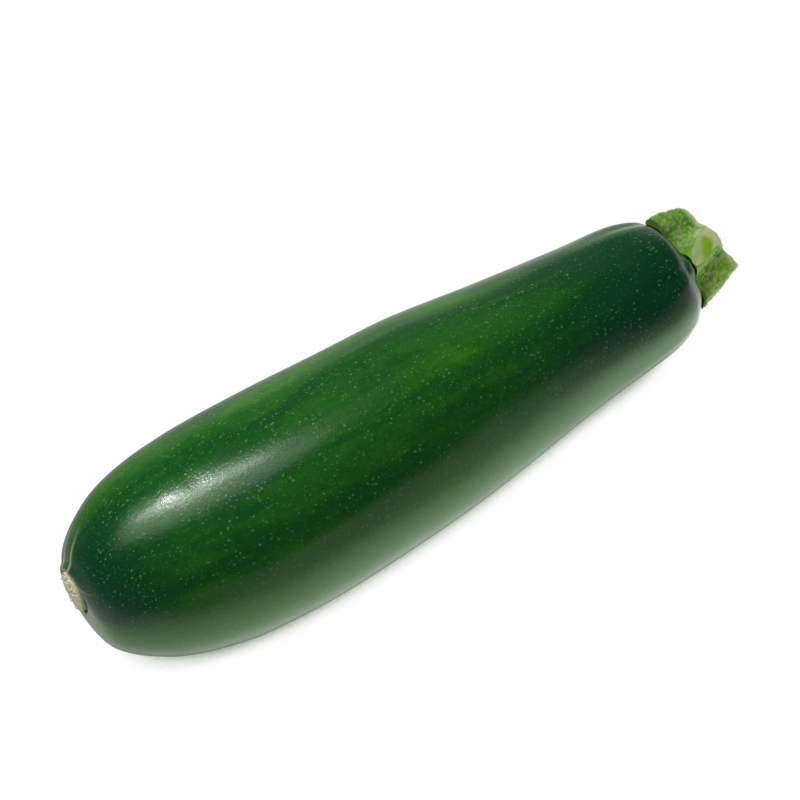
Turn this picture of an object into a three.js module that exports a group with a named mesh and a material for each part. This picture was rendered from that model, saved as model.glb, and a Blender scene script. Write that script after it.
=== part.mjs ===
// A courgette lying on its side: the fruit, the short five-ribbed stem that it was cut by, and the
// dry corky scar where its flower fell. Millimetres, +Z up, +X from the flower end to the stem end,
// Z = 0 on the table.
import * as THREE from "three";

const RIBS = 5;
const SEGMENTS = RIBS * 15; // points round every ring, so that each rib has the same ones
const STEPS = 2; // rings for each point of the outline

// The skin from the flower end to the neck: distance along the fruit, radius there.
const FLOWER_HOLLOW_FLOOR = 1.0;
const FLOWER_HOLLOW_RADIUS = 5.3;
const BODY_OUTLINE = [
  [FLOWER_HOLLOW_FLOOR, FLOWER_HOLLOW_RADIUS],
  [0.5, 5.5],
  [0.35, 6.3],
  [0.5, 8.5],
  [1.4, 11],
  [3.1, 13.8],
  [6.1, 16.7],
  [10, 19.4],
  [15, 22],
  [22, 24.2],
  [32, 25.9],
  [45, 26.7],
  [60, 26.6],
  [78, 25.8],
  [95, 24.8],
  [108, 23.3],
  [120, 21.7],
  [132, 20.2],
  [144, 19],
];
// The shoulder round the stem. Between the ribs the skin rolls over a lip into a moat, and under each
// rib it is pinched lower.
const SEAT_X = 167;
const SEAT_RADIUS = 7.5;
const SHOULDER_BETWEEN_RIBS = [
  [153, 18.3],
  [158.5, 17.7],
  [162.5, 16.7],
  [165.8, 15.2],
  [167.8, 13.2],
  [168.8, 11.6],
  [168.6, 10.1],
  [167.7, 9.2],
  [SEAT_X, 8.4],
  [SEAT_X, SEAT_RADIUS],
];
const SHOULDER_UNDER_RIB = [
  [153, 17.9],
  [158, 17.1],
  [162, 16.1],
  [165.2, 14.9],
  [167.2, 13.5],
  [168.2, 12.2],
  [168.1, 11],
  [167.6, 9.9],
  [SEAT_X, 8.7],
  [SEAT_X, SEAT_RADIUS],
];
const PINCH_HALF_ANGLE = THREE.MathUtils.degToRad(8);
const LIP_VARIATION = 0.4; // the lip stands this share higher on one side and lower on the other
const HIGH_LIP_ANGLE = THREE.MathUtils.degToRad(84); // from the first rib
// The skin climbs the first rib in a narrow crease, by this share of the lip's height.
const CREASE_RISE = 0.9;
const CREASE_HALF_ANGLE = THREE.MathUtils.degToRad(11);

// How the fruit lies: it bows a little sideways, its flower end hangs and its neck lifts off the table.
const SIDEWAYS_BOW = [
  [0, 0],
  [25, -2.6],
  [50, -4.1],
  [80, -3.7],
  [110, -2.15],
  [140, -0.65],
  [185, -1.1],
];
const RESTING_FROM = 32;
const RESTING_TO = 150;
const TABLE_FLAT_DEPTH = 0.4; // how far the underside is pressed flat
const FLOWER_END_DROP = 4;
// The flower scar and the stem both sit off the middle of their ends, towards the same side. Skin
// further from the axis than the given radius isn't drawn aside with them.
const OFFSET_ANGLE = THREE.MathUtils.degToRad(25.7);
const SCAR_OFFSET = 3.4;
const SCAR_OFFSET_RADIUS = 12;
const STEM_OFFSET = 0.6;
const STEM_OFFSET_RADIUS = 17.5;
const NECK_LIFT = 1.6;
const NECK_LIFT_FROM = 100;

const UNEVENNESS = 0.22; // broad and low, and none towards the table

// The stem: rib and furrow radii against height above its seat.
const STEM_HEIGHT = 14.2;
const RIB_RADIUS = [
  [0, 14.1],
  [2, 13.9],
  [5, 13.2],
  [8, 12.2],
  [12, 10.8],
  [STEM_HEIGHT, 10.1],
];
const FURROW_RADIUS = [
  [0, 9.2],
  [5, 8.6],
  [10, 7.8],
  [STEM_HEIGHT, 7.2],
];
const RIB_ANGLE = THREE.MathUtils.degToRad(121.7); // of the first rib at the seat, from +Y towards +Z
const STEM_TWIST = THREE.MathUtils.degToRad(-11);
const STEM_LEAN = 1.6;
const STEM_CUT_SLANT = THREE.MathUtils.degToRad(12);
const STEM_CUT_DIP = 0.8; // how far the cut has dried back in the furrows
const STEM_CUT_CHAMFER = 0.5;
const STEM_RINGS = 9;
const STEM_UNDERSIDE_RINGS = 8;
// The ribs' feet stand clear of the shoulder, most on the side where its lip is highest.
const FOOT_GAP = 0.3;
const FOOT_GAP_WIDEST = 1.2;
// How much less each rib's foot stands out than that, from the first rib on. Near the cut they are
// alike.
const RIB_FOOT_LESS = [1.7, 1.7, 1, 0.5, 0];
// A knife has shaved the first rib flat, deeper towards the cut.
const SHAVED_AT_SEAT = 12.3;
const SHAVED_AT_CUT = 7.4;

// The flower scar: a thin domed pad with an uneven edge.
const SCAR_RADIUS = 4.85;
const SCAR_EDGE_X = -0.4;
const SCAR_DOME = 0.7;
const SCAR_DIMPLE = 0.35;
const SCAR_DIMPLE_SHARE = 0.4; // of the pad's radius
const SCAR_RINGS = 5;

const { lerp, smoothstep } = THREE.MathUtils;
const FULL_TURN = 2 * Math.PI;

// A smooth curve through [x, value] points, level with its neighbours' slope at each.
function valueAt(points, x) {
  const last = points.length - 1;
  const inside = Math.min(Math.max(x, points[0][0]), points[last][0]);
  let i = 0;
  while (i < last - 1 && inside > points[i + 1][0]) i += 1;
  const slope = (k) => {
    const before = points[Math.max(k - 1, 0)];
    const after = points[Math.min(k + 1, last)];
    return (after[1] - before[1]) / (after[0] - before[0]);
  };
  const [x0, y0] = points[i];
  const [x1, y1] = points[i + 1];
  const width = x1 - x0;
  const t = (inside - x0) / width;
  const rise = t * t * (3 - 2 * t);
  return lerp(y0, y1, rise) + width * t * (1 - t) * (slope(i) * (1 - t) - slope(i + 1) * t);
}

// 1 on the middle of a rib and 0 midway between two, for an angle measured from the first rib.
function ribCloseness(angle) {
  return 0.5 + 0.5 * Math.cos(RIBS * angle);
}

function pinch(angle) {
  const fromRib = angle - Math.round((angle / FULL_TURN) * RIBS) * (FULL_TURN / RIBS);
  return Math.exp(-((fromRib / PINCH_HALF_ANGLE) ** 2));
}

const offsetWay = new THREE.Vector3(0, Math.cos(OFFSET_ANGLE), Math.sin(OFFSET_ANGLE));
const segmentAngles = Array.from({ length: SEGMENTS }, (_, i) => (i / SEGMENTS) * FULL_TURN);

const splineOf = (points) => new THREE.SplineCurve(points.map(([x, r]) => new THREE.Vector2(x, r)));
const bodyRadius = [...BODY_OUTLINE.slice(3), ...SHOULDER_BETWEEN_RIBS.slice(0, 2)];
const outlineBetweenRibs = splineOf([...BODY_OUTLINE, ...SHOULDER_BETWEEN_RIBS]);
const outlineUnderRib = splineOf([...BODY_OUTLINE, ...SHOULDER_UNDER_RIB]);
const ringCount = STEPS * (outlineBetweenRibs.points.length - 1);

// The middle of the fruit's cross-section at x, drawn aside for skin near the scar or the stem.
function centreAt(x, radius = Infinity) {
  const resting = valueAt(bodyRadius, Math.min(Math.max(x, RESTING_FROM), RESTING_TO));
  const towardsFlower = Math.max(RESTING_FROM - x, 0) / RESTING_FROM;
  const lift = NECK_LIFT * smoothstep(x, NECK_LIFT_FROM, SEAT_X);
  const z = resting - TABLE_FLAT_DEPTH - FLOWER_END_DROP * towardsFlower ** 2 + lift;
  const clearOfScar = smoothstep(radius, FLOWER_HOLLOW_RADIUS, SCAR_OFFSET_RADIUS);
  const clearOfStem = smoothstep(radius, SEAT_RADIUS, STEM_OFFSET_RADIUS);
  const nearScar = x < RESTING_FROM ? 1 - clearOfScar : 0;
  const nearStem = x > RESTING_TO ? 1 - clearOfStem : 0;
  const centre = new THREE.Vector3(x, valueAt(SIDEWAYS_BOW, x), z);
  return centre.addScaledVector(offsetWay, SCAR_OFFSET * nearScar + STEM_OFFSET * nearStem);
}

// The outline at one angle from the first rib: x along the fruit, y the radius.
function outlineAt(t, fromRib) {
  const point = outlineBetweenRibs.getPoint(t).lerp(outlineUnderRib.getPoint(t), pinch(fromRib));
  const lipHeight = Math.max(point.x - SEAT_X, 0);
  const crease = Math.exp((Math.cos(fromRib) - 1) / (1 - Math.cos(CREASE_HALF_ANGLE)));
  point.x += lipHeight * (LIP_VARIATION * Math.cos(fromRib - HIGH_LIP_ANGLE) + CREASE_RISE * crease);
  return point;
}

function unevenness(x, angle) {
  const waves = Math.sin(x / 17 + 2 * angle) + Math.cos(x / 26 - 3 * angle);
  const awayFromEnds = smoothstep(x, 5, 40) * (1 - smoothstep(x, 130, 160));
  const awayFromTable = 0.5 + 0.5 * Math.sin(angle);
  return UNEVENNESS * waves * awayFromEnds * awayFromTable;
}

function pointRound(centre, radius, angle, x) {
  return new THREE.Vector3(x, centre.y + radius * Math.cos(angle), centre.z + radius * Math.sin(angle));
}

// A closed body from rings of points, ordered so that its faces point out, with a point to close
// each end.
function skinOver(firstPoint, rings, lastPoint) {
  const points = [firstPoint, ...rings.flat(), lastPoint];
  const at = (ring, segment) => 1 + ring * SEGMENTS + (segment % SEGMENTS);
  const faces = [];
  for (let i = 0; i < SEGMENTS; i += 1) {
    faces.push(0, at(0, i + 1), at(0, i));
    for (let ring = 0; ring < rings.length - 1; ring += 1) {
      faces.push(at(ring, i), at(ring, i + 1), at(ring + 1, i + 1));
      faces.push(at(ring, i), at(ring + 1, i + 1), at(ring + 1, i));
    }
    faces.push(points.length - 1, at(rings.length - 1, i), at(rings.length - 1, i + 1));
  }
  const geometry = new THREE.BufferGeometry();
  const places = points.flatMap((point) => point.toArray());
  geometry.setAttribute("position", new THREE.Float32BufferAttribute(places, 3));
  geometry.setIndex(faces);
  geometry.computeVertexNormals();
  return geometry;
}

function fruit() {
  const rings = [];
  for (let ring = 0; ring <= ringCount; ring += 1) {
    rings.push(
      segmentAngles.map((fromRib) => {
        const angle = fromRib + RIB_ANGLE;
        const { x, y: radius } = outlineAt(ring / ringCount, fromRib);
        const point = pointRound(centreAt(x, radius), radius + unevenness(x, angle), angle, x);
        point.z = Math.max(point.z, 0);
        return point;
      }),
    );
  }
  const skin = skinOver(centreAt(FLOWER_HOLLOW_FLOOR, 0), rings, centreAt(SEAT_X, 0));
  const material = new THREE.MeshStandardMaterial({ color: 0x1c4a22, roughness: 0.3, metalness: 0 });
  return named("fruit", skin, material);
}

// How far along the fruit its skin lies at a radius on the shoulder, at an angle from the first rib.
function shoulderX(radius, fromRib) {
  let outer = outlineAt(1, fromRib);
  for (let ring = ringCount - 1; ring > 0; ring -= 1) {
    const inner = outer;
    outer = outlineAt(ring / ringCount, fromRib);
    if (outer.y >= radius && outer.y > inner.y) {
      return lerp(inner.x, outer.x, Math.max(radius - inner.y, 0) / (outer.y - inner.y));
    }
  }
  return SEAT_X;
}

function stemRadius(height, fromRib) {
  const footLess = RIB_FOOT_LESS.reduce((sum, less, i) => {
    return sum + less * Math.max(Math.cos(fromRib - (i / RIBS) * FULL_TURN), 0) ** 4;
  }, 0);
  const rib = valueAt(RIB_RADIUS, height) - footLess * (1 - height / STEM_HEIGHT);
  const furrow = valueAt(FURROW_RADIUS, height);
  const radius = lerp(furrow, rib, ribCloseness(fromRib) ** 1.3);
  const shaved = lerp(SHAVED_AT_SEAT, SHAVED_AT_CUT, height / STEM_HEIGHT);
  const facing = Math.cos(fromRib);
  return facing > 0.5 ? Math.min(radius, shaved / facing) : radius;
}

function stem() {
  const seat = centreAt(SEAT_X, 0);
  const centreAtHeight = (height) => {
    const lean = STEM_LEAN * Math.sin((height / STEM_HEIGHT) * (Math.PI / 2));
    return seat.clone().addScaledVector(offsetWay, lean);
  };
  const cutCentre = centreAtHeight(STEM_HEIGHT).setX(SEAT_X + STEM_HEIGHT);
  // The cut leans back on the side that the stem leans to.
  const onCut = (point, segment) => {
    const along = point.clone().sub(cutCentre).dot(offsetWay);
    const dip = STEM_CUT_DIP * (1 - ribCloseness(segmentAngles[segment]));
    return point.setX(cutCentre.x - along * Math.tan(STEM_CUT_SLANT) - dip);
  };
  const ringAt = (height, inset) =>
    segmentAngles.map((fromRib) => {
      const angle = fromRib + RIB_ANGLE + STEM_TWIST * (height / STEM_HEIGHT);
      return pointRound(centreAtHeight(height), stemRadius(height, fromRib) - inset, angle, SEAT_X);
    });

  const rings = [];
  for (let ring = 0; ring <= STEM_UNDERSIDE_RINGS; ring += 1) {
    rings.push(
      segmentAngles.map((fromRib) => {
        const outwards = ring / STEM_UNDERSIDE_RINGS;
        const radius = lerp(SEAT_RADIUS - FOOT_GAP, stemRadius(0, fromRib), outwards);
        const openness = (0.5 + 0.5 * Math.cos(fromRib - HIGH_LIP_ANGLE)) ** 2;
        const gap = lerp(FOOT_GAP, FOOT_GAP_WIDEST, openness);
        const x = ring === 0 ? SEAT_X : shoulderX(radius, fromRib) + gap;
        return pointRound(centreAt(SEAT_X, radius), radius, fromRib + RIB_ANGLE, x);
      }),
    );
  }
  const foot = rings[rings.length - 1];
  const cutEdge = ringAt(STEM_HEIGHT, 0).map(onCut);
  for (let ring = 1; ring <= STEM_RINGS; ring += 1) {
    const share = ring / STEM_RINGS;
    const side = ringAt(share * STEM_HEIGHT, 0);
    side.forEach((point, i) => point.setX(lerp(foot[i].x, cutEdge[i].x - STEM_CUT_CHAMFER, share)));
    rings.push(side);
  }
  rings.push(ringAt(STEM_HEIGHT, STEM_CUT_CHAMFER).map(onCut));
  const material = new THREE.MeshStandardMaterial({ color: 0x7aa63c, roughness: 0.6, metalness: 0 });
  return named("stem", skinOver(seat, rings, cutCentre), material);
}

function blossomScar() {
  const centre = centreAt(FLOWER_HOLLOW_FLOOR, 0);
  const ringAt = (share, x) =>
    segmentAngles.map((angle) => {
      const uneven = 1 + 0.02 * Math.sin(3 * angle) + 0.012 * Math.sin(7 * angle + 1);
      return pointRound(centre, SCAR_RADIUS * uneven * share, angle, x);
    });
  const frontX = (share) => {
    const dimple = SCAR_DIMPLE * Math.max(1 - share / SCAR_DIMPLE_SHARE, 0);
    return SCAR_EDGE_X - SCAR_DOME * (1 - share ** 2) + dimple;
  };
  const rings = [];
  for (let ring = 1; ring <= SCAR_RINGS; ring += 1) {
    const share = ring / SCAR_RINGS;
    rings.push(ringAt(share, frontX(share)));
  }
  rings.push(ringAt(1, FLOWER_HOLLOW_FLOOR));
  const front = centre.clone().setX(frontX(0));
  const material = new THREE.MeshStandardMaterial({ color: 0xcdbf95, roughness: 0.85, metalness: 0 });
  return named("blossom_scar", skinOver(front, rings, centre), material);
}

function named(name, geometry, material) {
  const mesh = new THREE.Mesh(geometry, material);
  mesh.name = name;
  return mesh;
}

const courgette = new THREE.Group();
courgette.add(fruit(), stem(), blossomScar());
// The origin is under the middle of the whole, on the table.
const middle = new THREE.Box3().setFromObject(courgette).getCenter(new THREE.Vector3());
courgette.position.set(-middle.x, -middle.y, 0);

export default courgette;
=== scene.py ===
import math
import random

import bpy
import numpy as np
from mathutils import Matrix, Vector


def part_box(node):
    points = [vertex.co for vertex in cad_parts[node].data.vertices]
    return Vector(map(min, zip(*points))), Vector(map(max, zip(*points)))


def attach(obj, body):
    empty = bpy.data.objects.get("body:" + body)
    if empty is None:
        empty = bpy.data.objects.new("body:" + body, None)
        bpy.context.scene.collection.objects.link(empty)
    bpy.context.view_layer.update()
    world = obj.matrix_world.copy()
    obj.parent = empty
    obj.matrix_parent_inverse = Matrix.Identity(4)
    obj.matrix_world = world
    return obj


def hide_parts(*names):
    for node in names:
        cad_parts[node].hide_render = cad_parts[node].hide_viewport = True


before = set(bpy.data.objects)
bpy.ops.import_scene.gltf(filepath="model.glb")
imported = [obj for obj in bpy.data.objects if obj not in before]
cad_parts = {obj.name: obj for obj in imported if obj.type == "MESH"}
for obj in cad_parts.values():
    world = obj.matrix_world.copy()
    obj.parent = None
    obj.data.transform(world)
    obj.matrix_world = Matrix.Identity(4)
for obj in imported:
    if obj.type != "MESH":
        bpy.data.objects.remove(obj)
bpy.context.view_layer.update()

MM = 0.001
FULL_TURN = 2 * math.pi
RIBS = 5

# ---- shape of the fruit, as in the part's source

FLOWER_HOLLOW_FLOOR = 1.0
FLOWER_HOLLOW_RADIUS = 5.3
BODY_OUTLINE = [
    (FLOWER_HOLLOW_FLOOR, FLOWER_HOLLOW_RADIUS), (0.5, 5.5), (0.35, 6.3), (0.5, 8.5), (1.4, 11),
    (3.1, 13.8), (6.1, 16.7), (10, 19.4), (15, 22), (22, 24.2), (32, 25.9), (45, 26.7), (60, 26.6),
    (78, 25.8), (95, 24.8), (108, 23.3), (120, 21.7), (132, 20.2), (144, 19),
]
SEAT_X = 167
SEAT_RADIUS = 7.5
SHOULDER_BETWEEN_RIBS = [
    (153, 18.3), (158.5, 17.7), (162.5, 16.7), (165.8, 15.2), (167.8, 13.2), (168.8, 11.6),
    (168.6, 10.1), (167.7, 9.2), (SEAT_X, 8.4), (SEAT_X, SEAT_RADIUS),
]
SHOULDER_UNDER_RIB = [
    (153, 17.9), (158, 17.1), (162, 16.1), (165.2, 14.9), (167.2, 13.5), (168.2, 12.2), (168.1, 11),
    (167.6, 9.9), (SEAT_X, 8.7), (SEAT_X, SEAT_RADIUS),
]
PINCH_HALF_ANGLE = math.radians(8)
LIP_VARIATION = 0.4
HIGH_LIP_ANGLE = math.radians(84)
CREASE_RISE = 0.9
CREASE_HALF_ANGLE = math.radians(11)

SIDEWAYS_BOW = [(0, 0), (25, -2.6), (50, -4.1), (80, -3.7), (110, -2.15), (140, -0.65), (185, -1.1)]
RESTING_FROM = 32
RESTING_TO = 150
TABLE_FLAT_DEPTH = 0.4
FLOWER_END_DROP = 4
OFFSET_ANGLE = math.radians(25.7)
SCAR_OFFSET = 3.4
SCAR_OFFSET_RADIUS = 12
STEM_OFFSET = 0.6
STEM_OFFSET_RADIUS = 17.5
NECK_LIFT = 1.6
NECK_LIFT_FROM = 100

# Low swellings over the body, kept away from its ends and from the table.
UNEVENNESS = 0.22
SWELLING_LENGTHS = (17, 26)
SWELLINGS_START = (5, 40)
SWELLINGS_END = (130, 160)

RIB_ANGLE = math.radians(121.7)


def value_at(points, x):
    """A smooth curve through (x, value) points."""
    xs, ys = np.array(points, float).T
    slopes = np.empty(len(xs))
    slopes[1:-1] = (ys[2:] - ys[:-2]) / (xs[2:] - xs[:-2])
    slopes[0] = (ys[1] - ys[0]) / (xs[1] - xs[0])
    slopes[-1] = (ys[-1] - ys[-2]) / (xs[-1] - xs[-2])
    inside = np.clip(x, xs[0], xs[-1])
    i = np.clip(np.searchsorted(xs, inside, side="right") - 1, 0, len(xs) - 2)
    width = xs[i + 1] - xs[i]
    t = (inside - xs[i]) / width
    rise = t * t * (3 - 2 * t)
    lean = width * t * (1 - t) * (slopes[i] * (1 - t) - slopes[i + 1] * t)
    return ys[i] + (ys[i + 1] - ys[i]) * rise + lean


def along_spline(points, share):
    """Points at shares 0 to 1 of a Catmull-Rom curve."""
    p = np.array(points, float)
    last = len(p) - 1
    place = np.asarray(share) * last
    i = np.minimum(place.astype(int), last - 1)
    w = (place - i)[..., None]
    before, start, end, after = p[np.maximum(i - 1, 0)], p[i], p[i + 1], p[np.minimum(i + 2, last)]
    v0, v1 = (end - before) / 2, (after - start) / 2
    cubic = (2 * start - 2 * end + v0 + v1) * w**3
    square = (-3 * start + 3 * end - 2 * v0 - v1) * w**2
    return cubic + square + v0 * w + start


def smoothstep(x, low, high):
    t = np.clip((x - low) / (high - low), 0, 1)
    return t * t * (3 - 2 * t)


def rib_closeness(angle):
    """1 on the middle of a rib, 0 midway between two."""
    return 0.5 + 0.5 * np.cos(RIBS * angle)


def pinch(angle):
    """1 on the middle of a rib, falling away quickly to its sides."""
    from_rib = angle - np.round(angle / FULL_TURN * RIBS) * (FULL_TURN / RIBS)
    return np.exp(-((from_rib / PINCH_HALF_ANGLE) ** 2))


BODY_RADIUS = BODY_OUTLINE[3:] + SHOULDER_BETWEEN_RIBS[:2]


def centre_at(x, radius=math.inf):
    """Sideways place and height of the middle of the fruit at x, drawn aside near the scar and the stem."""
    resting = value_at(BODY_RADIUS, np.clip(x, RESTING_FROM, RESTING_TO))
    towards_flower = np.maximum(RESTING_FROM - x, 0) / RESTING_FROM
    lift = NECK_LIFT * smoothstep(x, NECK_LIFT_FROM, SEAT_X)
    round_scar = 1 - smoothstep(radius, FLOWER_HOLLOW_RADIUS, SCAR_OFFSET_RADIUS)
    round_stem = 1 - smoothstep(radius, SEAT_RADIUS, STEM_OFFSET_RADIUS)
    near_scar = np.where(x < RESTING_FROM, round_scar, 0)
    near_stem = np.where(x > RESTING_TO, round_stem, 0)
    aside = SCAR_OFFSET * near_scar + STEM_OFFSET * near_stem
    y = value_at(SIDEWAYS_BOW, x) + aside * math.cos(OFFSET_ANGLE)
    z = resting - TABLE_FLAT_DEPTH - FLOWER_END_DROP * towards_flower**2 + lift
    z = z + aside * math.sin(OFFSET_ANGLE)
    return y, z


def outline_at(share, from_rib):
    """Distance along the fruit and radius, at shares of the outline and angles from the first rib."""
    between = along_spline(BODY_OUTLINE + SHOULDER_BETWEEN_RIBS, share)
    under = along_spline(BODY_OUTLINE + SHOULDER_UNDER_RIB, share)
    blend = pinch(from_rib)[..., None]
    x, radius = np.moveaxis(between * (1 - blend) + under * blend, -1, 0)
    crease = np.exp((np.cos(from_rib) - 1) / (1 - math.cos(CREASE_HALF_ANGLE)))
    rise = LIP_VARIATION * np.cos(from_rib - HIGH_LIP_ANGLE) + CREASE_RISE * crease
    return x + np.maximum(x - SEAT_X, 0) * rise, radius


def unevenness(x, angle):
    """Height of the low swellings."""
    first, second = SWELLING_LENGTHS
    waves = np.sin(x / first + 2 * angle) + np.cos(x / second - 3 * angle)
    away_from_ends = smoothstep(x, *SWELLINGS_START) * (1 - smoothstep(x, *SWELLINGS_END))
    away_from_table = 0.5 + 0.5 * np.sin(angle)
    return UNEVENNESS * waves * away_from_ends * away_from_table


def ripple(points, wavelength, seed, waves=14):
    """Soft irregular relief, about -1 to 1: plane waves in seeded random directions, added up."""
    draw = np.random.default_rng(seed)
    total = 0
    for _ in range(waves):
        way = draw.normal(size=3)
        way *= FULL_TURN / (np.linalg.norm(way) * wavelength * draw.uniform(0.7, 1.5))
        total = total + np.sin(points @ way + draw.uniform(0, FULL_TURN))
    return total / math.sqrt(waves)


# ---- making meshes

def ring_points(x, radius, angle, centre):
    """Points round a centre: x, then sideways, then up."""
    y = centre[0] + radius * np.cos(angle)
    z = centre[1] + radius * np.sin(angle)
    return np.stack(np.broadcast_arrays(x, y, z), axis=-1)


def skin_over(name, first_point, rings, last_point, attributes):
    """A closed mesh from rings of points in millimetres, with a point to close each end."""
    count, segments = rings.shape[:2]
    points = np.concatenate([[first_point], rings.reshape(-1, 3), [last_point]])
    ring, i = np.meshgrid(np.arange(count - 1), np.arange(segments), indexing="ij")
    j = (i + 1) % segments

    def at(ring, segment):
        return 1 + ring * segments + segment

    corners = [at(ring, i), at(ring, j), at(ring + 1, j), at(ring + 1, i)]
    sides = np.stack(corners, axis=-1).reshape(-1, 4)
    i = np.arange(segments)
    j = (i + 1) % segments
    first = np.stack([np.zeros_like(i), at(0, j), at(0, i)], axis=-1)
    last = np.stack([np.full_like(i, len(points) - 1), at(count - 1, i), at(count - 1, j)], axis=-1)
    mesh = bpy.data.meshes.new(name)
    faces = sides.tolist() + first.tolist() + last.tolist()
    mesh.from_pydata(place_in_frame(points).tolist(), [], faces)
    mesh.polygons.foreach_set("use_smooth", [True] * len(mesh.polygons))
    for key, values in attributes.items():
        store(mesh, key, values, segments)
    mesh.update()
    return link(name, mesh)


def store(mesh, key, values, segments):
    """Keeps one value, or one vector, for each point, with the end points' taken from their rings."""
    flat = values.reshape(-1, values.shape[-1]) if values.ndim == 3 else values.reshape(-1)
    first = flat[:segments].mean(0, keepdims=True)
    last = flat[-segments:].mean(0, keepdims=True)
    whole = np.concatenate([first, flat, last])
    kind, field = ("FLOAT_VECTOR", "vector") if values.ndim == 3 else ("FLOAT", "value")
    made = mesh.attributes.new(key, kind, "POINT")
    made.data.foreach_set(field, np.ascontiguousarray(whole, np.float32).reshape(-1))


def link(name, mesh):
    made = bpy.data.objects.new(name, mesh)
    bpy.context.scene.collection.objects.link(made)
    return made


# In millimetres. make_skin sets it so that the skin lies on the part's fruit.
frame_shift = np.zeros(3)


def place_in_frame(points):
    """Millimetres from the flower end to metres in the part's frame."""
    return (points + frame_shift) * MM


# ---- shader building

def give(tree, socket, value):
    """Feeds a socket from another one, or sets its value."""
    if isinstance(value, bpy.types.NodeSocket):
        tree.links.new(value, socket)
    else:
        socket.default_value = value


def put(tree, kind, settings=None, **inputs):
    """Adds a shader node. Inputs are given by name, with _ for a space, or by place as _0, _1."""
    made = tree.nodes.new("ShaderNode" + kind)
    for name, value in (settings or {}).items():
        setattr(made, name, value)
    for name, value in inputs.items():
        by_place = name[0] == "_" and name[1:].isdigit()
        key = int(name[1:]) if by_place else name.replace("_", " ")
        give(tree, made.inputs[key], value)
    return made


def maths(tree, operation, *values, clamp=False):
    inputs = {f"_{i}": value for i, value in enumerate(values)}
    return put(tree, "Math", {"operation": operation, "use_clamp": clamp}, **inputs).outputs[0]


def ramp(tree, value, low, high, to_low=0.0, to_high=1.0):
    """to_low up to low and to_high from high on, with a smooth change between them."""
    settings = {"interpolation_type": "SMOOTHSTEP"}
    ends = {"From_Min": low, "From_Max": high, "To_Min": to_low, "To_Max": to_high}
    return put(tree, "MapRange", settings, Value=value, **ends).outputs[0]


def less_by(tree, amount):
    """1 minus an amount."""
    return maths(tree, "SUBTRACT", 1.0, amount)


def times(tree, first, second):
    return maths(tree, "MULTIPLY", first, second)


def plus(tree, first, second):
    return maths(tree, "ADD", first, second)


def mix(tree, factor, first, second):
    """A colour between two others, by a factor."""
    made = put(tree, "Mix", {"data_type": "RGBA"})
    for place, value in ((0, factor), (6, first), (7, second)):
        give(tree, made.inputs[place], value)
    return made.outputs[2]


def stretched(tree, vector, x, y, z):
    return put(tree, "VectorMath", {"operation": "MULTIPLY"}, _0=vector, _1=(x, y, z)).outputs[0]


def noise(tree, vector, scale, detail=2.0, roughness=0.5):
    inputs = {"Vector": vector, "Scale": scale, "Detail": detail, "Roughness": roughness}
    return put(tree, "TexNoise", **inputs).outputs[0]


def attribute(tree, name, output="Fac"):
    return put(tree, "Attribute", {"attribute_name": name}).outputs[output]


def new_group(name, inputs, outputs):
    """An empty shader node group. Inputs are (name, default), and outputs are names.

    All of them are numbers, except inputs called Vector or Place.
    """
    group = bpy.data.node_groups.new(name, "ShaderNodeTree")
    for label, default in inputs:
        kind = "NodeSocketVector" if label in ("Vector", "Place") else "NodeSocketFloat"
        socket = group.interface.new_socket(name=label, in_out="INPUT", socket_type=kind)
        if default is not None:
            socket.default_value = default
    for label in outputs:
        group.interface.new_socket(name=label, in_out="OUTPUT", socket_type="NodeSocketFloat")
    start = group.nodes.new("NodeGroupInput")
    end = group.nodes.new("NodeGroupOutput")
    return group, start.outputs, end.inputs


def use_group(tree, group, **inputs):
    made = tree.nodes.new("ShaderNodeGroup")
    made.node_tree = group
    for name, value in inputs.items():
        give(tree, made.inputs[name], value)
    return made.outputs


def new_material(name):
    made = bpy.data.materials.new(name)
    made.use_nodes = True
    tree = made.node_tree
    return made, tree, tree.nodes["Principled BSDF"]


def feed(tree, shader, **inputs):
    for name, value in inputs.items():
        give(tree, shader.inputs[name.replace("_", " ")], value)


def millimetres(tree):
    """The piece's own coordinates, counted in millimetres."""
    return stretched(tree, put(tree, "TexCoord").outputs["Object"], 1 / MM, 1 / MM, 1 / MM)


# ---- shared surface effects

def make_speckle_group():
    """Scattered dots of uneven size.

    Spacing and Radius are in millimetres, and Share is how many of the cells have a dot.
    """
    group, given, result = new_group(
        "Speckles",
        [("Vector", None), ("Spacing", 3.0), ("Radius", 0.5), ("Softness", 0.5), ("Share", 0.7)],
        ["Mask"],
    )
    scale = maths(group, "DIVIDE", 1.0, given["Spacing"])
    cells = put(group, "TexVoronoi", {"feature": "F1"}, Vector=given["Vector"], Scale=scale)
    distance = times(group, cells.outputs["Distance"], given["Spacing"])
    luck = put(group, "SeparateColor", Color=cells.outputs["Color"]).outputs
    has_dot = maths(group, "LESS_THAN", luck[0], given["Share"])
    size = times(group, given["Radius"], plus(group, 0.55, luck[1]))
    inner = times(group, size, maths(group, "SUBTRACT", 1.0, given["Softness"]))
    dot = ramp(group, distance, inner, size, 1.0, 0.0)
    group.links.new(times(group, dot, has_dot), result["Mask"])
    return group


def make_fibre_group():
    """Lengthwise streaks, for a place vector of millimetres along and cosine and sine round."""
    group, given, result = new_group(
        "Lengthwise fibres",
        [("Place", None), ("Length", 30.0), ("Fineness", 6.0)],
        ["Streak"],
    )
    parts = put(group, "SeparateXYZ", Vector=given["Place"]).outputs
    along = maths(group, "DIVIDE", parts[0], given["Length"])
    across = times(group, parts[1], given["Fineness"])
    up = times(group, parts[2], given["Fineness"])
    spread = put(group, "CombineXYZ", X=along, Y=across, Z=up).outputs[0]
    group.links.new(noise(group, spread, 1.0, 3.0, 0.55), result["Streak"])
    return group


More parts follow.
